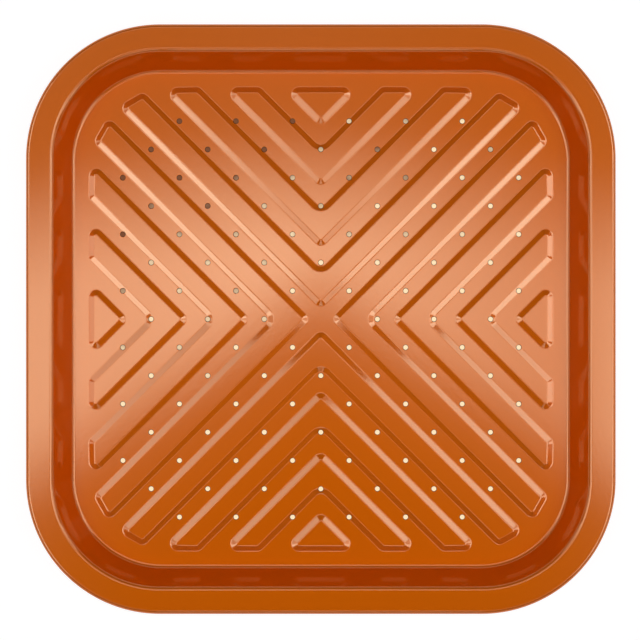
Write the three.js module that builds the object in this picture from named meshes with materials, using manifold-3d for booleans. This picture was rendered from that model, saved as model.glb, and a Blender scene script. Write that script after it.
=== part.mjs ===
// Crisper pan: one pressed sheet with a ribbed, perforated floor, and the stiffening wire in its rolled rim.
// Millimetres, +Z up. The origin is the middle of the flat underside that the pan stands on.
import * as THREE from 'three';
import { mergeGeometries, mergeVertices } from 'three/addons/utils/BufferGeometryUtils.js';
import Module from 'manifold-3d';

const wasm = await Module();
wasm.setup();

// Driving dimensions of the pressing
const PAN_WIDTH = 330;           // across the rolled rim, the same both ways
const PAN_HEIGHT = 21;           // underside of the floor to the top of the flange
const CORNER_RADIUS = 75;        // outside of the rim, in plan
const SHEET = 0.8;               // sheet thickness
const FLANGE_WIDTH = 14.8;       // outside of the rim to the fold above the wall
const WALL_LEAN = 24;            // degrees that the wall leans out from upright
const FLOOR_BEND_RADIUS = 2.5;   // inside of the bend between floor and wall
const FOLD_RADIUS = 2;           // underside of the bend between wall and flange
const CURL_SLIT = 0.6;           // left open between the end of the rolled edge and the flange

// Driving dimensions of the stiffening wire
const WIRE_DIAMETER = 2;
const WIRE_CLEARANCE = 0.3;      // between the wire and the inside of the rolled edge
const WIRE_END_GAP = 0.5;        // between the butted ends of the wire

// Driving dimensions of the ribs, measured at their feet
const RIB_HEIGHT = 1.1;
const RIB_WIDTH = 16;            // across one arm of a chevron
const RIB_GAP = 8.4;             // flat floor between neighbouring arms
const RIB_SLOPE_RUN = 3.2;       // plan width of the sloping side
const CHANNEL_WIDTH = 8;         // the flat diagonal channels between the four groups of ribs
const RIB_BORDER = 9.5;          // flat border between the rib ends and the wall
const RIB_FIELD_TIGHTER = 4.2;   // the outline of the rib ends has corners this much tighter than the floor's
const RIB_CREST_RADIUS = 1;      // outer corners of a rib's flat crest, in plan
const RIB_CROOK_RADIUS = 4.2;    // inner corner of a chevron's foot, in plan

// Driving dimensions of the perforations
const HOLE_DIAMETER = 2.7;
const HOLE_STEP = 16.05;         // between rows, with every other place in a row left out
const HOLE_BORDER = 25;          // unperforated border inside the wall

// Facets
const CORNER_FACETS = 10;        // round each corner of the pan
const BEND_FACETS = 3;           // across each bend of the sheet
const CURL_FACETS = 3;           // in each quarter turn of the rolled edge
const WIRE_FACETS = 8;
const RIB_CORNER_FACETS = 2;
const HOLE_FACETS = 8;
const WELD = 1e-5;               // points closer than this are one point

// Derived places: halves are measured from the pan's axis to the middle of a side
const rimHalf = PAN_WIDTH / 2;
const cornerCentre = rimHalf - CORNER_RADIUS;
const wallLean = THREE.MathUtils.degToRad(WALL_LEAN);
const bendTurn = Math.PI / 2 - wallLean;
const foldHalf = rimHalf - FLANGE_WIDTH;
const floorHalf = foldHalf - (PAN_HEIGHT - SHEET) * Math.tan(wallLean);
const curlRadius = WIRE_DIAMETER / 2 + WIRE_CLEARANCE + SHEET;
const curlCentre = new THREE.Vector2(rimHalf - curlRadius, PAN_HEIGHT - curlRadius);
const curlEnd = -Math.PI - Math.asin((curlRadius - SHEET - CURL_SLIT) / curlRadius);
const floorRadius = floorHalf - cornerCentre;
const ribFieldHalf = floorHalf - RIB_BORDER;
const ribFieldRadius = floorRadius - RIB_FIELD_TIGHTER;

// A closed triangle mesh of positions, ready to be joined and cut
function toSolid(geometry) {
  const bare = geometry.clone();
  bare.deleteAttribute('normal');
  bare.deleteAttribute('uv');
  const welded = mergeVertices(bare, WELD);
  const vertProperties = Float32Array.from(welded.attributes.position.array);
  const triVerts = Uint32Array.from(welded.index.array);
  return new wasm.Manifold(new wasm.Mesh({ numProp: 3, vertProperties, triVerts }));
}

function toGeometry(solid) {
  const mesh = solid.getMesh();
  const geometry = new THREE.BufferGeometry();
  geometry.setAttribute('position', new THREE.BufferAttribute(mesh.vertProperties, 3));
  geometry.setIndex(new THREE.BufferAttribute(mesh.triVerts, 1));
  geometry.computeVertexNormals();
  return geometry;
}

function meshOf(positions, triangles) {
  const geometry = new THREE.BufferGeometry();
  geometry.setAttribute('position', new THREE.Float32BufferAttribute(positions.flat(), 3));
  geometry.setIndex(triangles.flat());
  return geometry;
}

// Points of an arc in a plane
function arc(centre, radius, from, to, facets) {
  const points = [];
  for (let i = 0; i <= facets; i += 1) {
    const angle = THREE.MathUtils.lerp(from, to, i / facets);
    points.push(new THREE.Vector2(radius * Math.cos(angle), radius * Math.sin(angle)).add(centre));
  }
  return points;
}

// Stations round the pan's rounded square: a corner's centre, and the way out from it in plan
function cornerStations() {
  const stations = [];
  for (let corner = 0; corner < 4; corner += 1) {
    const middle = (corner + 0.5) * Math.PI / 2;
    const centre = new THREE.Vector2(Math.sign(Math.cos(middle)), Math.sign(Math.sin(middle)));
    centre.multiplyScalar(cornerCentre);
    const start = corner * Math.PI / 2;
    for (const out of arc(new THREE.Vector2(), 1, start, start + Math.PI / 2, CORNER_FACETS)) {
      stations.push({ centre, out });
    }
  }
  return stations;
}

// A section point (half-width, height) carried to one station
function carry(point, station) {
  const reach = point.x - cornerCentre;
  return [station.centre.x + station.out.x * reach, station.centre.y + station.out.y * reach, point.y];
}

// Triangles between two neighbouring rows of points in a grid
function strip(rowA, rowB, count, closed) {
  const triangles = [];
  const steps = closed ? count : count - 1;
  for (let k = 0; k < steps; k += 1) {
    const next = (k + 1) % count;
    triangles.push([rowA + k, rowB + k, rowB + next], [rowA + k, rowB + next, rowA + next]);
  }
  return triangles;
}

// The rolled edge in section, from the top of the rim round to the sheet's end under the flange
function curl(radius) {
  const topQuarter = arc(curlCentre, radius, Math.PI / 2, 0, CURL_FACETS);
  const rest = arc(curlCentre, radius, 0, -Math.PI, 2 * CURL_FACETS);
  const tail = arc(curlCentre, radius, -Math.PI, curlEnd, 1);
  return [...topQuarter, ...rest.slice(1), ...tail.slice(1)];
}

// The sheet in section: its upper face from the floor out to the rolled edge, then its underside back
function sheetSection() {
  const floorTangent = (FLOOR_BEND_RADIUS + SHEET / 2) * Math.tan(bendTurn / 2);
  const floorBend = new THREE.Vector2(floorHalf - floorTangent, SHEET + FLOOR_BEND_RADIUS);
  const foldTangent = (FOLD_RADIUS + SHEET / 2) * Math.tan(bendTurn / 2);
  const fold = new THREE.Vector2(foldHalf + foldTangent, PAN_HEIGHT - SHEET - FOLD_RADIUS);
  const down = -Math.PI / 2;
  const up = Math.PI / 2;
  const upper = [
    ...arc(floorBend, FLOOR_BEND_RADIUS, down, down + bendTurn, BEND_FACETS),
    ...arc(fold, FOLD_RADIUS + SHEET, up + bendTurn, up, BEND_FACETS),
    ...curl(curlRadius),
  ];
  const under = [
    ...arc(floorBend, FLOOR_BEND_RADIUS + SHEET, down, down + bendTurn, BEND_FACETS),
    ...arc(fold, FOLD_RADIUS, up + bendTurn, up, BEND_FACETS),
    ...curl(curlRadius - SHEET),
  ];
  return [...upper, ...under.reverse()];
}

// The pressing before its ribs and perforations: the section carried round the pan, closed by a flat floor
function blankSolid() {
  const section = sheetSection();
  const stations = cornerStations();
  const count = section.length;
  const positions = stations.flatMap((station) => section.map((point) => carry(point, station)));
  const triangles = [];
  const upperMiddle = positions.push([0, 0, SHEET]) - 1;
  const underMiddle = positions.push([0, 0, 0]) - 1;
  stations.forEach((_, s) => {
    const row = s * count;
    const nextRow = ((s + 1) % stations.length) * count;
    triangles.push(...strip(nextRow, row, count, false));
    triangles.push([upperMiddle, row, nextRow]);
    triangles.push([underMiddle, nextRow + count - 1, row + count - 1]);
  });
  return toSolid(meshOf(positions, triangles));
}

// How far sideways the line y = x + start runs before it meets the outline that the rib ends lie on,
// a square with rounded corners, one border in from the wall
function armEnd(start) {
  const fieldCorner = ribFieldHalf - ribFieldRadius;
  const flatEnd = ribFieldHalf - start;
  if (flatEnd <= fieldCorner) return flatEnd;
  return fieldCorner + (Math.sqrt(2 * ribFieldRadius ** 2 - start ** 2) - start) / 2;
}

// Sharp outline of the rib whose apex lies at a distance from the middle, on the +Y side of the pan.
// Nearest the wall there is no room for two arms, and the rib closes as a triangle.
function ribOutline(apex) {
  const crook = apex + RIB_WIDTH * Math.SQRT2;
  const outer = armEnd(apex);
  const tips = [[0, apex], [outer, outer + apex]];
  if (crook + RIB_WIDTH < ribFieldHalf) {
    const inner = armEnd(crook);
    tips.push([inner, inner + crook], [0, crook], [-inner, inner + crook]);
  }
  tips.push([-outer, outer + apex]);
  return tips.map(([x, y]) => new THREE.Vector2(x, y));
}

// Corner data of an anticlockwise outline: the ways in and out, and which way it turns
function corners(outline) {
  return outline.map((point, i) => {
    const before = outline[(i + outline.length - 1) % outline.length];
    const after = outline[(i + 1) % outline.length];
    const into = point.clone().sub(before).normalize();
    const onward = after.clone().sub(point).normalize();
    const turn = Math.atan2(into.cross(onward), into.dot(onward));
    return { point, into, onward, turn };
  });
}

// The same outline drawn in by a distance, with sharp corners
function drawnIn(outline, distance) {
  return corners(outline).map(({ point, into, onward, turn }) => {
    const inward = new THREE.Vector2(-into.y - onward.y, into.x + onward.x).normalize();
    return point.clone().addScaledVector(inward, distance / Math.cos(turn / 2));
  });
}

// The outline with each corner turned into an arc
function rounded(outline, cornerRadius, crookRadius) {
  return corners(outline).flatMap(({ point, into, onward, turn }) => {
    const radius = turn > 0 ? cornerRadius : crookRadius;
    const tangent = radius * Math.tan(Math.abs(turn) / 2);
    const side = Math.sign(turn);
    const start = point.clone().addScaledVector(into, -tangent);
    const centre = start.clone().add(new THREE.Vector2(-into.y, into.x).multiplyScalar(radius * side));
    const from = Math.atan2(start.y - centre.y, start.x - centre.x);
    return arc(centre, radius, from, from + turn, RIB_CORNER_FACETS);
  });
}

// A rib's foot and crest, and a short stem below the foot that lies within the sheet
function ribGeometry(apex) {
  const sharp = ribOutline(apex);
  const drawn = drawnIn(sharp, RIB_SLOPE_RUN);
  const foot = rounded(sharp, RIB_CREST_RADIUS + RIB_SLOPE_RUN, RIB_CROOK_RADIUS);
  const crest = rounded(drawn, RIB_CREST_RADIUS, RIB_CROOK_RADIUS + RIB_SLOPE_RUN);
  const rows = [[foot, SHEET / 2], [foot, SHEET], [crest, SHEET + RIB_HEIGHT]];
  const positions = rows.flatMap(([row, z]) => row.map((point) => [point.x, point.y, z]));
  const count = foot.length;
  const triangles = [...strip(count, 0, count, true), ...strip(2 * count, count, count, true)];
  for (const [a, b, c] of THREE.ShapeUtils.triangulateShape(foot, [])) {
    triangles.push([c, b, a]);
  }
  for (const triangle of THREE.ShapeUtils.triangulateShape(crest, [])) {
    triangles.push(triangle.map((corner) => corner + 2 * count));
  }
  return meshOf(positions, triangles);
}

// Four groups of nested chevrons, each closed off by a triangle at the wall
function ribSolid() {
  const firstApex = CHANNEL_WIDTH / Math.SQRT2;
  const apexStep = (RIB_WIDTH + RIB_GAP) * Math.SQRT2;
  const ribs = [];
  for (let apex = firstApex; apex + RIB_WIDTH < ribFieldHalf; apex += apexStep) {
    for (let side = 0; side < 4; side += 1) {
      ribs.push(ribGeometry(apex).rotateZ(side * Math.PI / 2));
    }
  }
  return toSolid(mergeGeometries(ribs));
}

// The perforations stand in a chequered grid; the middle of the floor and the grid's corners are left whole
function holeSolid() {
  const fieldHalf = floorHalf - HOLE_BORDER;
  const fieldRadius = Math.max(fieldHalf - cornerCentre, 0);
  const fieldCorner = fieldHalf - fieldRadius;
  const steps = Math.floor(fieldHalf / HOLE_STEP);
  const length = 4 * (SHEET + RIB_HEIGHT);
  const pin = new THREE.CylinderGeometry(HOLE_DIAMETER / 2, HOLE_DIAMETER / 2, length, HOLE_FACETS);
  pin.rotateX(Math.PI / 2);
  const holes = [];
  for (let i = -steps; i <= steps; i += 1) {
    for (let j = -steps; j <= steps; j += 1) {
      const x = i * HOLE_STEP;
      const y = j * HOLE_STEP;
      const pastX = Math.max(Math.abs(x) - fieldCorner, 0);
      const pastY = Math.max(Math.abs(y) - fieldCorner, 0);
      const inMiddle = i === 0 && j === 0;
      const inField = Math.hypot(pastX, pastY) <= fieldRadius;
      if ((i + j) % 2 === 0 && inField && !inMiddle) {
        holes.push(pin.clone().translate(x, y, 0));
      }
    }
  }
  return toSolid(mergeGeometries(holes));
}

// Ribs stand up from the upper face and leave a matching hollow below, one sheet thickness lower
function panShell() {
  const ribs = ribSolid();
  const pressed = blankSolid().add(ribs).subtract(ribs.translate(0, 0, -SHEET));
  const coat = new THREE.MeshStandardMaterial({ color: 0xc8733a, roughness: 0.42, metalness: 0.75 });
  const mesh = new THREE.Mesh(toGeometry(pressed.subtract(holeSolid())), coat);
  mesh.name = 'pan_shell';
  return mesh;
}

// The wire follows the rolled edge from one butted end to the other, in the middle of the +Y side
function rimWire() {
  const fullTurn = 2 * Math.PI;
  const section = arc(curlCentre, WIRE_DIAMETER / 2, 0, fullTurn, WIRE_FACETS).slice(0, WIRE_FACETS);
  const endOut = new THREE.Vector2(0, 1);
  const round = cornerStations();
  const perCorner = CORNER_FACETS + 1;
  const stations = [
    { centre: new THREE.Vector2(-WIRE_END_GAP / 2, cornerCentre), out: endOut },
    ...round.slice(perCorner),
    ...round.slice(0, perCorner),
    { centre: new THREE.Vector2(WIRE_END_GAP / 2, cornerCentre), out: endOut },
  ];
  const positions = stations.flatMap((station) => section.map((point) => carry(point, station)));
  const triangles = [];
  for (let s = 0; s + 1 < stations.length; s += 1) {
    triangles.push(...strip(s * WIRE_FACETS, (s + 1) * WIRE_FACETS, WIRE_FACETS, true));
  }
  const lastRow = (stations.length - 1) * WIRE_FACETS;
  for (const [a, b, c] of THREE.ShapeUtils.triangulateShape(section, [])) {
    triangles.push([a, b, c], [lastRow + c, lastRow + b, lastRow + a]);
  }
  const steel = new THREE.MeshStandardMaterial({ color: 0xa9abad, roughness: 0.4, metalness: 0.9 });
  const mesh = new THREE.Mesh(toGeometry(toSolid(meshOf(positions, triangles))), steel);
  mesh.name = 'rim_wire';
  return mesh;
}

const pan = new THREE.Group();
pan.name = 'crisper_pan';
pan.add(panShell(), rimWire());

export default pan;
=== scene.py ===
# Crisper pan: a pressed, copper-coated sheet with a ribbed, perforated floor, and the wire in its rim.
# Metres, +Z up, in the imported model's own frame.
import math
from typing import NamedTuple

import bpy
import numpy as np
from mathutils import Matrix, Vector
from mathutils.geometry import delaunay_2d_cdt


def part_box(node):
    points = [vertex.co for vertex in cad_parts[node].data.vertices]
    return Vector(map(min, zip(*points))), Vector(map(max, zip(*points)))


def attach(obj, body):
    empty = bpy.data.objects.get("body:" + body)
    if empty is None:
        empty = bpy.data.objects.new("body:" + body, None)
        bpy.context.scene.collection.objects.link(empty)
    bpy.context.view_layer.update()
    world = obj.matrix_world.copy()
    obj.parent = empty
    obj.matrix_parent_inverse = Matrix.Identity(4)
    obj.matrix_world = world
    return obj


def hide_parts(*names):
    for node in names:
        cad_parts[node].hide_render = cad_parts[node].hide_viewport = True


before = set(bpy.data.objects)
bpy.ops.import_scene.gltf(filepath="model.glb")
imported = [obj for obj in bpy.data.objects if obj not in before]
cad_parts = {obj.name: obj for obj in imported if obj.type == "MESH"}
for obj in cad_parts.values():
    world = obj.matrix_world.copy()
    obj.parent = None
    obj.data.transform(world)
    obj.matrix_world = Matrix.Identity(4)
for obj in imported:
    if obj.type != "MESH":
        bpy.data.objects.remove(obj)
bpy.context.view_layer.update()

MM = 0.001
QUARTER = math.pi / 2

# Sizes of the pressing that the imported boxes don't give
SHEET = 0.8 * MM
CORNER_RADIUS = 75 * MM             # outside of the rim, in plan
FLANGE_WIDTH = 14.8 * MM            # outside of the rim to the fold above the wall
WALL_LEAN = math.radians(24)        # out from upright
FLOOR_BEND_RADIUS = 2.5 * MM        # inside of the bend between floor and wall
FOLD_RADIUS = 2 * MM                # underside of the bend between wall and flange
CURL_SLIT = 0.6 * MM                # left open between the end of the rolled edge and the flange
WIRE_END_GAP = 0.5 * MM             # between the butted ends of the wire

# Sizes of the ribs, measured at their feet
RIB_HEIGHT = 1.1 * MM
RIB_WIDTH = 16 * MM                 # across one arm of a chevron
RIB_GAP = 8.4 * MM                  # flat floor between neighbouring arms
RIB_SLOPE_RUN = 3.2 * MM            # plan width of the sloping side
CHANNEL_WIDTH = 8 * MM              # the flat diagonal channels between the four groups of ribs
RIB_BORDER = 9.5 * MM               # flat border between the rib ends and the wall
RIB_FIELD_TIGHTER = 4.2 * MM        # how much tighter the outline of the rib ends turns than the floor's
RIB_CREST_RADIUS = 1 * MM           # outer corners of a rib's crest, in plan
RIB_CROOK_RADIUS = 4.2 * MM         # inner corner of a chevron's foot, in plan
RIB_EDGE_RADIUS = 2.4 * MM          # foot and crest, in section

# Sizes of the perforations
HOLE_RADIUS = 1.35 * MM
HOLE_STEP = 16.05 * MM              # between rows, with every other place in a row left out
HOLE_ROWS = 7                       # to each side of the middle
HOLE_EDGE_RADIUS = 0.35 * MM        # upper and lower edge, in section

# Fineness of the meshes
CORNER_STEPS = 48                   # round each corner of the pan
BEND_STEPS = 10                     # across each bend of the sheet
CURL_STEPS = 30                     # round the rolled edge
SHEET_END_STEPS = 6                 # round the end of the sheet
RIB_EDGE_STEPS = 5                  # across the rounding at a rib's foot and crest
RIB_CORNER_STEP = math.radians(9)   # round a rib's corners, in plan
HOLE_STEPS = 24                     # round each perforation
HOLE_EDGE_STEPS = 3                 # across the rounding of a perforation's edge
WIRE_STEPS = 20                     # round the wire
WELD = 1e-8                         # points of the floor's plan closer than this are one point

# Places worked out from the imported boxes: halves run from the pan's axis to the middle of a side
shell_low, shell_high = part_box("pan_shell")
wire_low, wire_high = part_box("rim_wire")
pan_height = shell_high.z - shell_low.z
rim_half = (shell_high.x - shell_low.x) / 2
corner_centre = rim_half - CORNER_RADIUS
fold_half = rim_half - FLANGE_WIDTH
floor_half = fold_half - (pan_height - SHEET) * math.tan(WALL_LEAN)
floor_radius = floor_half - corner_centre
rib_field_half = floor_half - RIB_BORDER
rib_field_radius = floor_radius - RIB_FIELD_TIGHTER
wire_radius = (wire_high.z - wire_low.z) / 2
curl_centre = np.array([wire_high.x - wire_radius, wire_low.z + wire_radius])
curl_radius = rim_half - curl_centre[0]
hole_ring = HOLE_RADIUS + HOLE_EDGE_RADIUS
rib_slope = math.atan2(RIB_HEIGHT, RIB_SLOPE_RUN)
rib_tangent = RIB_EDGE_RADIUS * math.tan(rib_slope / 2)
rib_rounding = RIB_EDGE_RADIUS * math.sin(rib_slope)


class Surface:
    """Points, the ways they face, how much painted shade darkens them, and the faces between them."""

    def __init__(self):
        self.places = []
        self.normals = []
        self.painted_shade = []
        self.faces = []

    def add(self, place, normal, painted_shade=0.0):
        self.places.append(tuple(place))
        self.normals.append(tuple(normal))
        self.painted_shade.append(painted_shade)
        return len(self.places) - 1

    def to_object(self, name, material):
        mesh = bpy.data.meshes.new(name)
        mesh.from_pydata(self.places, [], self.faces)
        mesh.shade_smooth()
        mesh.normals_split_custom_set_from_vertices(self.normals)
        mesh.attributes.new("painted_shade", "FLOAT", "POINT").data.foreach_set("value", self.painted_shade)
        mesh.materials.append(material)
        piece = bpy.data.objects.new(name, mesh)
        bpy.context.scene.collection.objects.link(piece)
        return piece


def turned(angle):
    """The way at an angle, in a plane."""
    return np.array([math.cos(angle), math.sin(angle)])


def arc(centre, radius, start, end, steps, facing):
    """Section points of a round face and the ways they face: 1 out from the centre, -1 towards it."""
    rows = []
    for angle in np.linspace(start, end, steps + 1):
        out = turned(angle)
        rows.append((*(centre + radius * out), *(facing * out)))
    return rows


# The rim, wall and bends

def sheet_section():
    """The sheet in section: upper face from the floor out to the rolled edge, then underside back."""
    bend_turn = QUARTER - WALL_LEAN
    floor_tangent = (FLOOR_BEND_RADIUS + SHEET / 2) * math.tan(bend_turn / 2)
    fold_tangent = (FOLD_RADIUS + SHEET / 2) * math.tan(bend_turn / 2)
    bend = np.array([floor_half - floor_tangent, SHEET + FLOOR_BEND_RADIUS])
    fold = np.array([fold_half + fold_tangent, pan_height - SHEET - FOLD_RADIUS])
    end_radius = SHEET / 2
    middle_radius = curl_radius - end_radius
    tip = -math.pi - math.asin((curl_radius - SHEET - CURL_SLIT) / curl_radius)
    end = tip + end_radius / middle_radius
    end_centre = curl_centre + middle_radius * turned(end)
    return [
        *arc(bend, FLOOR_BEND_RADIUS, -QUARTER, bend_turn - QUARTER, BEND_STEPS, -1),
        *arc(fold, FOLD_RADIUS + SHEET, QUARTER + bend_turn, QUARTER, BEND_STEPS, 1),
        *arc(curl_centre, curl_radius, QUARTER, end, CURL_STEPS, 1),
        *arc(end_centre, end_radius, end, end - math.pi, SHEET_END_STEPS, 1)[1:-1],
        *arc(curl_centre, curl_radius - SHEET, end, QUARTER, CURL_STEPS, -1),
        *arc(fold, FOLD_RADIUS, QUARTER, QUARTER + bend_turn, BEND_STEPS, -1),
        *arc(bend, FLOOR_BEND_RADIUS + SHEET, bend_turn - QUARTER, -QUARTER, BEND_STEPS, 1),
    ]


def corner_stations():
    """Places round the pan's rounded square: a corner's centre and the way out from it, in plan."""
    stations = []
    for corner in range(4):
        start = corner * QUARTER
        centre = corner_centre * np.sign(turned(start + QUARTER / 2))
        for angle in np.linspace(start, start + QUARTER, CORNER_STEPS + 1):
            stations.append((centre, turned(angle)))
    return stations


def carried(row, station):
    """A section point and the way it faces, carried to a station."""
    half, height, face_out, face_up = row
    centre, out = station
    flat = centre + out * (half - corner_centre)
    return (*flat, height), (*(out * face_out), face_up)


def sweep_rim(surface):
    """Carries the sheet's section round the pan, and gives the rows of points that the floor joins."""
    section = sheet_section()
    stations = corner_stations()
    rows = [[surface.add(*carried(row, station)) for row in section] for station in stations]
    for row, following in zip(rows, rows[1:] + rows[:1]):
        for k in range(len(section) - 1):
            surface.faces.append((row[k], row[k + 1], following[k + 1], following[k]))
    return [row[0] for row in rows], [row[-1] for row in rows]


# The ribs

class RibCorner(NamedTuple):
    """A rounded corner of a rib's foot, in plan."""

    centre: np.ndarray
    radius: float
    side: int                       # 1 at an outer corner, -1 at a crook
    start: float                    # angle at which the arc starts
    turn: float                     # angle that it goes through

    def point(self, angle, depth):
        return self.centre + (self.radius - self.side * depth) * turned(angle)


def arm_end(start):
    """How far sideways the line y = x + start runs before it meets the outline of the rib ends."""
    field_corner = rib_field_half - rib_field_radius
    flat_end = rib_field_half - start
    if flat_end <= field_corner:
        return flat_end
    return field_corner + (math.sqrt(2 * rib_field_radius ** 2 - start ** 2) - start) / 2


def rib_outline(apex):
    """Sharp outline of a rib on the +Y side: a chevron, or a triangle where there is no room for arms."""
    crook = apex + RIB_WIDTH * math.sqrt(2)
    outer = arm_end(apex)
    tips = [(0, apex), (outer, outer + apex)]
    if crook + RIB_WIDTH < rib_field_half:
        inner = arm_end(crook)
        tips += [(inner, inner + crook), (0, crook), (-inner, inner + crook)]
    tips.append((-outer, outer + apex))
    return np.array(tips)


def rib_corners(apex):
    """The rounded corners of a rib's foot, anticlockwise."""
    outline = rib_outline(apex)
    corners = []
    for before, point, after in zip(np.roll(outline, 1, 0), outline, np.roll(outline, -1, 0)):
        into = (point - before) / np.linalg.norm(point - before)
        onward = (after - point) / np.linalg.norm(after - point)
        turn = math.atan2(into[0] * onward[1] - into[1] * onward[0], into @ onward)
        side = 1 if turn > 0 else -1
        radius = RIB_CREST_RADIUS + RIB_SLOPE_RUN if turn > 0 else RIB_CROOK_RADIUS
        out = np.array([into[1], -into[0]]) * side
        centre = point - into * radius * math.tan(abs(turn) / 2) - out * radius
        corners.append(RibCorner(centre, radius, side, math.atan2(out[1], out[0]), turn))
    return corners


def all_ribs():
    """The ribs of the +Y side, from the middle out to the wall. The other sides repeat them."""
    ribs = []
    apex = CHANNEL_WIDTH / math.sqrt(2)
    while apex + RIB_WIDTH < rib_field_half:
        ribs.append(rib_corners(apex))
        apex += (RIB_WIDTH + RIB_GAP) * math.sqrt(2)
    return ribs


def rib_contour(corners, depth):
    """The outline of a rib's foot drawn in by a depth."""
    points = []
    for corner in corners:
        steps = max(2, round(abs(corner.turn) / RIB_CORNER_STEP))
        for angle in np.linspace(corner.start, corner.start + corner.turn, steps + 1):
            points.append(corner.point(angle, depth))
    return np.array(points)


def rib_depth(points, corners):
    """How far inside a rib's foot each point lies, and the way further in."""
    depth = np.full(len(points), np.inf)
    way = np.zeros_like(points)

    def keep_nearest(near, found, found_way):
        nearer = near & (np.abs(found) < np.abs(depth))
        depth[nearer] = found[nearer]
        way[nearer] = np.broadcast_to(found_way, points.shape)[nearer]

    for corner, following in zip(corners, corners[1:] + corners[:1]):
        out = points - corner.centre
        reach = np.linalg.norm(out, axis=1)
        swept = (np.arctan2(out[:, 1], out[:, 0]) - corner.start) * corner.side % (2 * math.pi)
        in_arc = swept <= abs(corner.turn)
        out_way = out / np.maximum(reach, WELD)[:, None]
        keep_nearest(in_arc, corner.side * (corner.radius - reach), -corner.side * out_way)
        first = corner.point(corner.start + corner.turn, 0)
        last = following.point(following.start, 0)
        length = np.linalg.norm(last - first)
        along = (last - first) / length
        inward = np.array([-along[1], along[0]])
        run = (points - first) @ along
        keep_nearest((run >= 0) & (run <= length), (points - first) @ inward, inward)
    return depth, way


def rib_profile(depth):
    """Height and steepness of a rib's side at a depth in from its foot."""
    foot = np.clip(depth + rib_tangent, 0, rib_rounding)
    crest = np.clip(RIB_SLOPE_RUN + rib_tangent - depth, 0, rib_rounding)
    foot_rise = np.sqrt(RIB_EDGE_RADIUS ** 2 - foot ** 2)
    crest_rise = np.sqrt(RIB_EDGE_RADIUS ** 2 - crest ** 2)
    low = foot < rib_rounding
    high = crest < rib_rounding
    height = np.where(low, RIB_EDGE_RADIUS - foot_rise, depth * math.tan(rib_slope))
    height = np.where(high, RIB_HEIGHT - RIB_EDGE_RADIUS + crest_rise, height)
    steepness = np.where(high, crest / crest_rise, foot / foot_rise)
    return height, steepness


def rib_edge_depths():
    """Depths of the contours that the rounded foot and crest of a rib's side need."""
    turns = [rib_slope * k / RIB_EDGE_STEPS for k in range(RIB_EDGE_STEPS + 1)]
    bends = [RIB_EDGE_RADIUS * math.sin(turn) for turn in turns]
    return [b - rib_tangent for b in bends] + [RIB_SLOPE_RUN + rib_tangent - b for b in bends]


def turned_points(points, angles):
    """Points in plan, each turned about the pan's axis by its angle."""
    cosine, sine = np.cos(angles), np.sin(angles)
    x, y = points[:, 0], points[:, 1]
    return np.stack([x * cosine - y * sine, x * sine + y * cosine], axis=1)


def floor_surface(points, ribs):
    """Height of the ribbed floor's upper face, and the way that it faces, at points in plan."""
    angles = np.rint(np.arctan2(-points[:, 0], points[:, 1]) / QUARTER) * QUARTER
    local = turned_points(points, -angles)
    heights = np.full(len(points), SHEET)
    rise = np.zeros_like(points)
    for corners in ribs:
        depth, way = rib_depth(local, corners)
        height, steepness = rib_profile(depth)
        heights += height
        rise += way * steepness[:, None]
    rise = turned_points(rise, angles)
    normals = np.stack([-rise[:, 0], -rise[:, 1], np.ones(len(points))], axis=1)
    return heights, normals / np.linalg.norm(normals, axis=1)[:, None]


# The perforations

def hole_places():
    """A chequered grid that leaves out the middle of the floor and the grid's four corners."""
    places = []
    for i in range(-HOLE_ROWS, HOLE_ROWS + 1):
        for j in range(-HOLE_ROWS, HOLE_ROWS + 1):
            in_middle = i == 0 and j == 0
            in_corner = abs(i) == HOLE_ROWS and abs(j) == HOLE_ROWS
            if (i + j) % 2 == 0 and not in_middle and not in_corner:
                places.append((i * HOLE_STEP, j * HOLE_STEP))
    return np.array(places)


def nearest_hole(points, holes):
    return np.argmin(np.linalg.norm(points[:, None] - holes[None], axis=2), axis=1)


def inside_hole(points, holes):
    """Whether each point lies inside the ring where a perforation's rounded edge starts."""
    away = points - holes[nearest_hole(points, holes)]
    step = 2 * math.pi / HOLE_STEPS
    beside = np.arctan2(away[:, 1], away[:, 0]) % step - step / 2
    return np.linalg.norm(away, axis=1) * np.cos(beside) < hole_ring * math.cos(step / 2)


def hole_column(surface, upper, lower, centre):
    """Points down a perforation's wall, from the rounded upper edge to the rounded lower one."""
    place = np.array(surface.places[upper])
    normal = np.array(surface.normals[upper])
    out = place[:2] - centre
    reach = np.linalg.norm(out)
    out = np.array([*(out / reach), 0])
    middle = np.array([*centre, 0])
    column = [upper]
    angles = [QUARTER * (k + 1) / HOLE_EDGE_STEPS for k in range(HOLE_EDGE_STEPS)]
    for face, rounding in ((1, angles), (-1, angles[::-1])):
        level = place[2] if face > 0 else place[2] - SHEET
        for angle in rounding:
            narrowed = reach - HOLE_EDGE_RADIUS * math.sin(angle)
            height = level - face * HOLE_EDGE_RADIUS * (1 - math.cos(angle))
            facing = face * normal * math.cos(angle) - out * math.sin(angle)
            spot = middle + out * narrowed + np.array([0, 0, height])
            # Points round a perforation's edge are fully darkened by painted shade, which gives a dark
            # ring round each hole
            column.append(surface.add(spot, facing / np.linalg.norm(facing), 1.0))
    return column + [lower]


# The whole pressing

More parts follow.
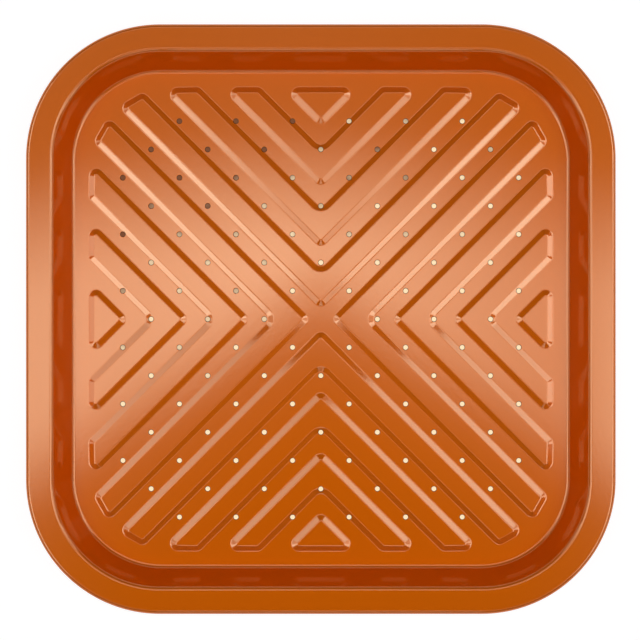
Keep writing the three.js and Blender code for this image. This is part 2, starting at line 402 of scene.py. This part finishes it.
def floor_plan(outline, ribs, holes):
    """The floor in plan, cut into triangles along the ribs' contours and the perforations' rings."""
    loops = [outline]
    for corners in ribs:
        for depth in rib_edge_depths():
            contour = rib_contour(corners, depth)
            loops += [turned_points(contour, side * QUARTER) for side in range(4)]
    ring = hole_ring * np.array([turned(2 * math.pi * k / HOLE_STEPS) for k in range(HOLE_STEPS)])
    loops += [hole + ring for hole in holes]
    points = []
    edges = []
    for loop in loops:
        first = len(points)
        points += [Vector(point) for point in loop]
        edges += [(first + k, first + (k + 1) % len(loop)) for k in range(len(loop))]
    places, _, triangles, sources, _, _ = delaunay_2d_cdt(points, edges, [], 0, WELD)
    places = np.array([tuple(place) for place in places])
    triangles = np.array([tuple(triangle) for triangle in triangles])
    triangles = triangles[~inside_hole(places[triangles].mean(axis=1), holes)]
    on_outline = {}
    for index, joined in enumerate(sources):
        for source in joined:
            if source < len(outline):
                on_outline[index] = source
    return places, triangles, on_outline


def fill_floor(surface, upper_row, lower_row):
    """The ribbed, perforated floor between the inner rows of the swept rim."""
    ribs = all_ribs()
    holes = hole_places()
    outline = np.array([surface.places[index][:2] for index in upper_row])
    places, triangles, on_outline = floor_plan(outline, ribs, holes)
    heights, normals = floor_surface(places, ribs)
    used = set(triangles.ravel().tolist())
    upper = {}
    lower = {}
    for k in sorted(used):
        if k in on_outline:
            upper[k] = upper_row[on_outline[k]]
            lower[k] = lower_row[on_outline[k]]
        else:
            upper[k] = surface.add((*places[k], heights[k]), normals[k])
            lower[k] = surface.add((*places[k], heights[k] - SHEET), -normals[k])
    sides = set()
    for a, b, c in triangles.tolist():
        surface.faces.append((upper[a], upper[b], upper[c]))
        surface.faces.append((lower[c], lower[b], lower[a]))
        sides.update([(a, b), (b, c), (c, a)])
    columns = {}
    for a, b in sorted(sides):
        if (b, a) in sides or (a in on_outline and b in on_outline):
            continue
        for k in (a, b):
            if k not in columns:
                centre = holes[nearest_hole(places[k][None], holes)[0]]
                columns[k] = hole_column(surface, upper[k], lower[k], centre)
        first, second = columns[a], columns[b]
        for n in range(len(first) - 1):
            surface.faces.append((second[n], first[n], first[n + 1], second[n + 1]))


def pan_shell(material):
    surface = Surface()
    upper_row, lower_row = sweep_rim(surface)
    fill_floor(surface, upper_row, lower_row)
    return surface.to_object("copper_pan", material)


def rim_wire(material):
    """The wire follows the rolled edge from one butted end to the other, in the middle of the +Y side."""
    surface = Surface()
    section = arc(curl_centre, wire_radius, 0, 2 * math.pi, WIRE_STEPS, 1)[:-1]
    stations = corner_stations()
    corner = CORNER_STEPS + 1
    back = np.array([0.0, 1.0])
    first = (np.array([-WIRE_END_GAP / 2, corner_centre]), back)
    last = (np.array([WIRE_END_GAP / 2, corner_centre]), back)
    route = [first, *stations[corner:], *stations[:corner], last]
    rows = [[surface.add(*carried(row, station)) for row in section] for station in route]
    for row, following in zip(rows, rows[1:]):
        for k in range(WIRE_STEPS):
            n = (k + 1) % WIRE_STEPS
            surface.faces.append((row[k], row[n], following[n], following[k]))
    for row, facing in ((rows[0], 1), (rows[-1], -1)):
        cap = [surface.add(surface.places[k], (facing, 0, 0)) for k in row]
        surface.faces.append(tuple(cap[::-facing]))
    return surface.to_object("steel_wire", material)


# Materials

ROUGH_FLAKE = ((0.86, 0.168, 0.001, 1), (0.89, 0.176, 0.001, 1))
ROUGH_FLAKE_ROUGHNESS = (0.53, 0.57)
ROUGH_FLAKE_METAL = 0.65            # the rest is matt
ROUGH_FLAKE_EDGE = (1, 0.85, 0.5, 1)    # tint at a glancing angle
LEVEL_FLAKE = ((0.58, 0.485, 0.33, 1), (0.62, 0.515, 0.355, 1))
LEVEL_FLAKE_ROUGHNESS = (0.06, 0.07)
LEVEL_FLAKES = 0.22                 # share of the level flake
HOLE_EDGE_SHADE = (0.12, 0.032, 0.004, 1)     # painted shade: a dark ring on the perforations' rounded edges
FLAKE_SIZE = 0.35 * MM
FLAKE_TONE = 0.5                    # weight of each flake's own tone beside the mottle
COAT_MOTTLE = 18 * MM               # size of the cloudy patches
COAT_PEEL = 1.6 * MM                # size of the faint dimples
COAT_PEEL_DEPTH = 0.02 * MM
COAT_PEEL_STRENGTH = 0.3
WIRE_TONES = ((0.28, 0.285, 0.29, 1), (0.42, 0.425, 0.43, 1))
WIRE_ROUGHNESS = (0.3, 0.45)
WIRE_GRAIN = 0.4 * MM
WHITE = (1, 1, 1, 1)


def new_material(name):
    material = bpy.data.materials.new(name)
    material.use_nodes = True
    tree = material.node_tree
    return material, tree, tree.nodes["Principled BSDF"]


def plug(tree, socket, value):
    """Links a socket to a node's output, or sets a plain value on it."""
    if isinstance(value, bpy.types.NodeSocket):
        tree.links.new(value, socket)
    else:
        socket.default_value = value


def add_node(tree, kind, **inputs):
    """A node with values or links on its inputs, named with _ for a space."""
    node = tree.nodes.new(kind)
    for name, value in inputs.items():
        plug(tree, node.inputs[name.replace("_", " ")], value)
    return node


def add_operation(tree, kind, operation, values):
    """A node set to an operation, with values or links on its inputs in their order."""
    node = tree.nodes.new(kind)
    node.operation = operation
    for socket, value in zip(node.inputs, values):
        plug(tree, socket, value)
    return node


def add_math(tree, operation, *values):
    """A number worked out from numbers or links."""
    return add_operation(tree, "ShaderNodeMath", operation, values).outputs["Value"]


def add_vector(tree, operation, *values):
    """A vector, or the number that it comes to, worked out from vectors or links."""
    node = add_operation(tree, "ShaderNodeVectorMath", operation, values)
    return node.outputs["Value" if operation in ("LENGTH", "DOT_PRODUCT") else "Vector"]


def add_range(tree, value, span, levels=(0.0, 1.0)):
    """A level that goes from the first to the second while a value runs through a span."""
    node = add_node(tree, "ShaderNodeMapRange", Value=value, From_Min=span[0], From_Max=span[1],
                    To_Min=levels[0], To_Max=levels[1])
    return node.outputs["Result"]


def add_mix(tree, share, first, second):
    """The first colour with a share of the second."""
    node = tree.nodes.new("ShaderNodeMix")
    node.data_type = "RGBA"
    tree.links.new(share, node.inputs["Factor"])
    # The colour sockets go by number, because the sockets of other types have the same names
    plug(tree, node.inputs[6], first)
    plug(tree, node.inputs[7], second)
    return node.outputs[2]


def add_ramp(tree, value, stops):
    """A level that follows a value from 0 to 1 through stops of (value, level)."""
    node = add_node(tree, "ShaderNodeValToRGB", Fac=value)
    elements = node.color_ramp.elements
    while len(elements) < len(stops):
        elements.new(1.0)
    for element, (position, level) in zip(elements, stops):
        element.position = position
        element.color = (level, level, level, 1)
    return add_node(tree, "ShaderNodeSeparateColor", Color=node.outputs["Color"]).outputs["Red"]


def add_noise(tree, place, size, detail):
    """A cloudy level in patches of a size."""
    node = add_node(tree, "ShaderNodeTexNoise", Vector=place, Scale=1 / size, Detail=detail)
    return node.outputs["Fac"]


def copper_coat():
    """A satin non-stick coat: rough copper-coloured flake, some level, paler flake and a faint peel."""
    material, tree, rough = new_material("copper_coat")
    rough.inputs["Metallic"].default_value = ROUGH_FLAKE_METAL
    rough.inputs["Specular IOR Level"].default_value = 0
    rough.inputs["Specular Tint"].default_value = ROUGH_FLAKE_EDGE
    level = tree.nodes.new("ShaderNodeBsdfPrincipled")
    level.inputs["Metallic"].default_value = 1
    place = tree.nodes.new("ShaderNodeTexCoord").outputs["Object"]
    mottle = add_noise(tree, place, COAT_MOTTLE, detail=3)
    flakes = add_node(tree, "ShaderNodeTexVoronoi", Vector=place, Scale=1 / FLAKE_SIZE)
    flake_tone = add_node(tree, "ShaderNodeSeparateColor", Color=flakes.outputs["Color"]).outputs["Red"]
    tone = add_math(tree, "MULTIPLY_ADD", flake_tone, FLAKE_TONE, mottle)
    # Painted shade: where the attribute on the points says so, the perforations' edges go dark brown
    painted_shade = tree.nodes.new("ShaderNodeAttribute")
    painted_shade.attribute_name = "painted_shade"
    peel = add_noise(tree, place, COAT_PEEL, detail=2)
    bump = add_node(tree, "ShaderNodeBump", Height=peel, Strength=COAT_PEEL_STRENGTH,
                    Distance=COAT_PEEL_DEPTH)
    kinds = [
        (rough, ROUGH_FLAKE, ROUGH_FLAKE_ROUGHNESS),
        (level, LEVEL_FLAKE, LEVEL_FLAKE_ROUGHNESS),
    ]
    for shader, tones, roughness in kinds:
        coated = add_mix(tree, tone, *tones)
        tree.links.new(add_mix(tree, painted_shade.outputs["Fac"], coated, HOLE_EDGE_SHADE), shader.inputs["Base Color"])
        tree.links.new(add_range(tree, mottle, (0, 1), roughness), shader.inputs["Roughness"])
        tree.links.new(bump.outputs["Normal"], shader.inputs["Normal"])
    both = tree.nodes.new("ShaderNodeMixShader")
    both.inputs["Fac"].default_value = LEVEL_FLAKES
    tree.links.new(rough.outputs["BSDF"], both.inputs[1])
    tree.links.new(level.outputs["BSDF"], both.inputs[2])
    tree.links.new(both.outputs["Shader"], tree.nodes["Material Output"].inputs["Surface"])
    return material


def wire_steel():
    """Drawn steel wire with a fine grain."""
    material, tree, shader = new_material("wire_steel")
    shader.inputs["Metallic"].default_value = 1
    place = tree.nodes.new("ShaderNodeTexCoord").outputs["Object"]
    grain = add_noise(tree, place, WIRE_GRAIN, detail=2)
    tree.links.new(add_mix(tree, grain, *WIRE_TONES), shader.inputs["Base Color"])
    tree.links.new(add_range(tree, grain, (0, 1), WIRE_ROUGHNESS), shader.inputs["Roughness"])
    return material


# Stage

STAGE_RADIUS = 4.0
STAGE_FLAT = 0.8                    # share of the radius where the floor starts to curve up
STAGE_RISE = 0.8
STAGE_FLAT_STEP = STAGE_RADIUS / 12     # between the rings of the flat part
STAGE_FLAT_RINGS = 9
STAGE_CURVE_START = 0.1             # angle of the first ring of the curve
STAGE_CURVE_RINGS = 10
STAGE_STEPS = 64                    # round each ring
STAGE_GAP = 0.2 * MM                # under the pan
STAGE_BASE = ((0.03, 0.012, 0.006, 1), (0.18, 0.18, 0.18, 1))   # painted shade under the pan, and the floor's colour in the open
STAGE_ROUGHNESS = 0.9
STAGE_GLOW = 0.92                   # the light that falls on it makes up the rest of the white
SHADE_WAY = (0.5, -0.85, 0)         # towards the side where the painted light under the pan is lightest
SHADE_PATCH = 20 * MM               # size of the uneven patches of that painted light
SHADE_UNEVEN = 0.22                 # and how far they push it about
SHADE_REACH = (0.01, 0.09)          # how far along that way it is darkest and lightest, with the patches
SHADE_EDGE = 2 * MM                 # width over which it ends at the edge of the ribs
PAINTED_LIGHT_UNDER_FLOOR = ((0.2, 0.075, 0.035, 1), (1.1, 0.86, 0.54, 1))    # painted light below the ribs, darkest and lightest, tinted as if off the copper
PAINTED_SHADE_UNDER_RIM = (0.36, 0.27, 0.21, 1)   # painted shade at the foot of the wall


def painted_stage_light(tree):
    """The stage's glow and base colour: white in the open, painted shade below the rim, uneven painted
    light and shade below the ribs.
    """
    place = tree.nodes.new("ShaderNodeTexCoord").outputs["Object"]
    # How far out a place lies, measured as the pan's halves are
    corner = (corner_centre, corner_centre, 1)
    past_corner = add_vector(tree, "SUBTRACT", add_vector(tree, "ABSOLUTE", place), corner)
    rounded = add_vector(tree, "LENGTH", add_vector(tree, "MAXIMUM", past_corner, (0, 0, 0)))
    half = add_math(tree, "ADD", rounded, corner_centre)
    in_open = add_range(tree, half, (floor_half, rim_half))
    past_ribs = add_range(tree, half, (rib_field_half - SHADE_EDGE, rib_field_half))
    # Painted light below the ribs: its glow goes from dark to light along a way, pushed about in patches
    along = add_vector(tree, "DOT_PRODUCT", place, SHADE_WAY)
    patches = add_noise(tree, place, SHADE_PATCH, detail=1)
    painted_light_level = add_range(tree, add_math(tree, "MULTIPLY_ADD", patches, SHADE_UNEVEN, along), SHADE_REACH)
    painted_floor_light = add_mix(tree, painted_light_level, *PAINTED_LIGHT_UNDER_FLOOR)
    painted_under_pan = add_mix(tree, past_ribs, painted_floor_light, PAINTED_SHADE_UNDER_RIM)
    return add_mix(tree, in_open, painted_under_pan, WHITE), add_mix(tree, in_open, *STAGE_BASE)


def stage_white():
    """White that glows a little for the camera and for reflections, and still takes the pan's shadow."""
    material, tree, shader = new_material("stage_white")
    shader.inputs["Roughness"].default_value = STAGE_ROUGHNESS
    shader.inputs["Specular IOR Level"].default_value = 0
    path = tree.nodes.new("ShaderNodeLightPath").outputs
    seen = path["Is Camera Ray"]
    for ray in ("Is Glossy Ray", "Is Transmission Ray"):
        seen = add_math(tree, "MAXIMUM", seen, path[ray])
    # Below the pan, the glow and base colour carry painted light and shade
    glow_with_painted_light, base_with_painted_shade = painted_stage_light(tree)
    tree.links.new(base_with_painted_shade, shader.inputs["Base Color"])
    tree.links.new(glow_with_painted_light, shader.inputs["Emission Color"])
    tree.links.new(add_math(tree, "MULTIPLY", seen, STAGE_GLOW), shader.inputs["Emission Strength"])
    return material


def stage_dish():
    """A round white floor that curves up at its edge."""
    rings = [(STAGE_FLAT_STEP * (k + 1), 0.0) for k in range(STAGE_FLAT_RINGS)]
    for angle in np.linspace(STAGE_CURVE_START, QUARTER, STAGE_CURVE_RINGS):
        radius = STAGE_RADIUS * (STAGE_FLAT + (1 - STAGE_FLAT) * math.sin(angle))
        rings.append((radius, STAGE_RISE * (1 - math.cos(angle))))
    places = [(0, 0, -STAGE_GAP)]
    for radius, height in rings:
        for k in range(STAGE_STEPS):
            out = radius * turned(2 * math.pi * k / STAGE_STEPS)
            places.append((*out, height - STAGE_GAP))
    faces = []
    for k in range(STAGE_STEPS):
        n = (k + 1) % STAGE_STEPS
        faces.append((0, 1 + k, 1 + n))
        for row in range(1, len(places) - STAGE_STEPS, STAGE_STEPS):
            faces.append((row + k, row + STAGE_STEPS + k, row + STAGE_STEPS + n, row + n))
    mesh = bpy.data.meshes.new("stage")
    mesh.from_pydata(places, [], faces)
    mesh.shade_smooth()
    mesh.materials.append(stage_white())
    dish = bpy.data.objects.new("stage", mesh)
    bpy.context.scene.collection.objects.link(dish)


# Light: panels round the pan, and a room of soft light with a screen overhead

class Panel(NamedTuple):
    """A soft light panel."""

    name: str
    place: tuple
    aim: tuple
    width: float
    length: float
    radiance: float                 # straight ahead
    spread: float                   # degrees that its grid lets through


PANELS = [
    Panel("front_left_box", (-0.48, -0.3, 0.78), (0, 0, 0), 0.3, 0.42, 2.3, 50),
    Panel("front_right_box", (0.48, -0.3, 0.78), (0, 0, 0), 0.3, 0.42, 2.3, 50),
    Panel("low_left_box", (-0.48, -0.26, 0.59), (-0.09, 0.04, 0), 0.22, 0.17, 2.2, 40),
    Panel("low_right_box", (0.48, -0.26, 0.59), (0.09, 0.04, 0), 0.22, 0.17, 2.0, 40),
    Panel("front_box", (0, -0.48, 0.77), (0, 0.05, 0), 0.3, 0.26, 1.5, 50),
    Panel("back_left_box", (-0.48, 0.25, 0.74), (0, 0, 0), 0.24, 0.32, 2.4, 50),
    Panel("back_right_box", (0.48, 0.24, 0.68), (0, 0, 0), 0.2, 0.34, 3.4, 50),
    Panel("left_box", (-1.2, 0.05, 1.16), (0, 0, 0), 0.36, 0.3, 2.0, 36),
    Panel("right_box", (1.2, 0.05, 1.16), (0, 0, 0), 0.44, 0.3, 3.3, 36),
    Panel("front_strip", (0, -1.2, 0.43), (0, 0, 0), 1.5, 0.3, 0.4, 90),
    Panel("back_strip", (0, 1.2, 0.43), (0, 0, 0), 1.3, 0.3, 0.4, 90),
    Panel("left_strip", (-1.2, 0, 0.43), (0, 0, 0), 0.5, 0.3, 0.2, 90),
    Panel("right_strip", (1.2, 0, 0.43), (0, 0, 0), 0.5, 0.3, 0.4, 90),
]

# The room's light, with stops of (degrees up, level)
ROOM_LOW = [(0, 0.05), (45, 0.05), (60, 0.0)]   # faint light low down, all round
ROOM_SIDE_BAND = [(0, 0.0), (48, 0.0), (53, 1.0), (76, 1.0), (80, 0.0)]     # to the left and right
ROOM_SIDE_SPAN = (30, 16)           # degrees off straight left or right where it starts and is full
ROOM_SIDES = 1.4                    # level of light there
ROOM_RIGHT = 0.1                    # how much lighter the right side is
ROOM_CROWN = [(0, 0.0), (63, 0.0), (68, 1.0), (77, 1.0), (81, 0.0)]     # all round the screen
ROOM_CROWN_LEVEL = 0.8              # level of light there
ROOM_CROWN_BACK = 0.3               # how much lighter it is at the back

# The screen's light, with places on it as the X (right) or Y (back) of a unit vector that points there
SCREEN_HALF = 0.2                   # reach to each side
SCREEN_RIM = (1.3, 1.1)             # angles from overhead where it ends and is full, over that reach
SCREEN_LEVELS = [                   # share of the way from left to right, level of light
    (0.0, 2.2), (0.3, 2.35), (0.45, 3.0), (0.55, 2.6), (0.69, 1.65),
    (0.75, 1.35), (0.78, 1.2), (0.81, 2.1), (1.0, 2.1),
]
SCREEN_FRONT = (-0.06, 0.04)        # where its front edge starts and ends
SCREEN_FRONT_LEVELS = [             # share of the way across that edge, share of light
    (0.0, 0.0), (0.25, 0.01), (0.5, 0.04), (0.59, 0.08), (0.66, 0.27), (0.76, 0.57), (0.92, 1.0),
]
SCREEN_FRONT_SWEEP = 0.65           # how far that edge runs forward towards both sides
SCREEN_BACK = (0.03, 0.083)         # where it starts to fade to the back and has faded
SCREEN_BACK_ARCH = 1.2              # how strongly its back edge bends forward towards both sides
SCREEN_BACK_LEVEL = 0.06            # share of light left behind that edge


def light_panel(panel):
    """A panel whose grid gathers the light, so that it takes less power than an open one as bright."""
    light = bpy.data.lights.new(panel.name, "AREA")
    light.shape = "RECTANGLE"
    light.size = panel.width
    light.size_y = panel.length
    light.spread = math.radians(panel.spread)
    # How much brighter the grid makes the panel straight ahead
    shut = (math.pi - light.spread) / 2
    gathered = 2 / (2 - light.spread * math.tan(shut))
    light.energy = panel.radiance * math.pi * panel.width * panel.length / gathered
    lamp = bpy.data.objects.new(panel.name, light)
    lamp.location = panel.place
    way = Vector(panel.aim) - Vector(panel.place)
    lamp.rotation_euler = way.to_track_quat("-Z", "Y").to_euler()
    lamp.visible_camera = False
    bpy.context.scene.collection.objects.link(lamp)


def add_band(tree, way, stops):
    """A level that follows how far up a way points, through stops of (degrees, level)."""
    return add_ramp(tree, way["Z"], [(math.sin(math.radians(up)), level) for up, level in stops])


def room_light(tree, way):
    """Bands of light to the left and right, a crown of it round the screen, and a little low down."""
    round_about = add_math(tree, "ARCTAN2", way["Y"], way["X"])
    sideways = add_math(tree, "ABSOLUTE", add_math(tree, "COSINE", round_about))
    side_span = [math.cos(math.radians(off)) for off in ROOM_SIDE_SPAN]
    right = add_math(tree, "MULTIPLY_ADD", way["X"], ROOM_RIGHT, 1)
    side_level = add_math(tree, "MULTIPLY", right, add_range(tree, sideways, side_span, (0, ROOM_SIDES)))
    back = add_math(tree, "SINE", round_about)
    back_level = ROOM_CROWN_BACK * ROOM_CROWN_LEVEL
    crown_level = add_math(tree, "MULTIPLY_ADD", back, back_level, ROOM_CROWN_LEVEL)
    light = add_band(tree, way, ROOM_LOW)
    light = add_math(tree, "MULTIPLY_ADD", add_band(tree, way, ROOM_CROWN), crown_level, light)
    return add_math(tree, "MULTIPLY_ADD", add_band(tree, way, ROOM_SIDE_BAND), side_level, light)


def screen_light(tree, way):
    """A screen overhead with a swept front edge and an arched back one."""
    sideways = add_range(tree, way["X"], (-SCREEN_HALF, SCREEN_HALF))
    aside = add_math(tree, "ABSOLUTE", way["X"])
    front_edge = add_math(tree, "MULTIPLY_ADD", aside, SCREEN_FRONT_SWEEP, way["Y"])
    across = add_math(tree, "MULTIPLY", way["X"], way["X"])
    back_edge = add_math(tree, "MULTIPLY_ADD", across, SCREEN_BACK_ARCH, way["Y"])
    factors = [
        add_ramp(tree, sideways, SCREEN_LEVELS),
        add_ramp(tree, add_range(tree, front_edge, SCREEN_FRONT), SCREEN_FRONT_LEVELS),
        add_range(tree, back_edge, SCREEN_BACK, (1, SCREEN_BACK_LEVEL)),
    ]
    light = add_range(tree, way["Z"], [math.cos(SCREEN_HALF * share) for share in SCREEN_RIM])
    for factor in factors:
        light = add_math(tree, "MULTIPLY", light, factor)
    return light


def soft_room():
    world = bpy.data.worlds.new("soft_room")
    world.use_nodes = True
    tree = world.node_tree
    way = tree.nodes.new("ShaderNodeTexCoord").outputs["Generated"]
    parts = add_node(tree, "ShaderNodeSeparateXYZ", Vector=way).outputs
    light = add_math(tree, "ADD", room_light(tree, parts), screen_light(tree, parts))
    ground = tree.nodes["Background"]
    ground.inputs["Color"].default_value = WHITE
    tree.links.new(light, ground.inputs["Strength"])
    bpy.context.scene.world = world


# Camera

CAMERA_HEIGHT = 1.3                 # above the flange
CAMERA_PLACE = (-0.00047, -0.0005)  # over the pan's middle, but for half a millimetre
CAMERA_SENSOR = 36.0                # millimetres, and so is the lens
CAMERA_LENS = 130.85


def top_camera():
    data = bpy.data.cameras.new("camera")
    data.sensor_width = CAMERA_SENSOR
    data.lens = CAMERA_LENS
    camera = bpy.data.objects.new("camera", data)
    camera.location = (*CAMERA_PLACE, shell_high.z + CAMERA_HEIGHT)
    bpy.context.scene.collection.objects.link(camera)
    bpy.context.scene.camera = camera


# The scene

top_camera()
for panel in PANELS:
    light_panel(panel)
soft_room()
stage_dish()
bpy.context.scene.view_settings.view_transform = "Standard"

pan = pan_shell(copper_coat())
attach(pan, "root")
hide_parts("pan_shell")

wire = rim_wire(wire_steel())
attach(wire, "root")
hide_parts("rim_wire")
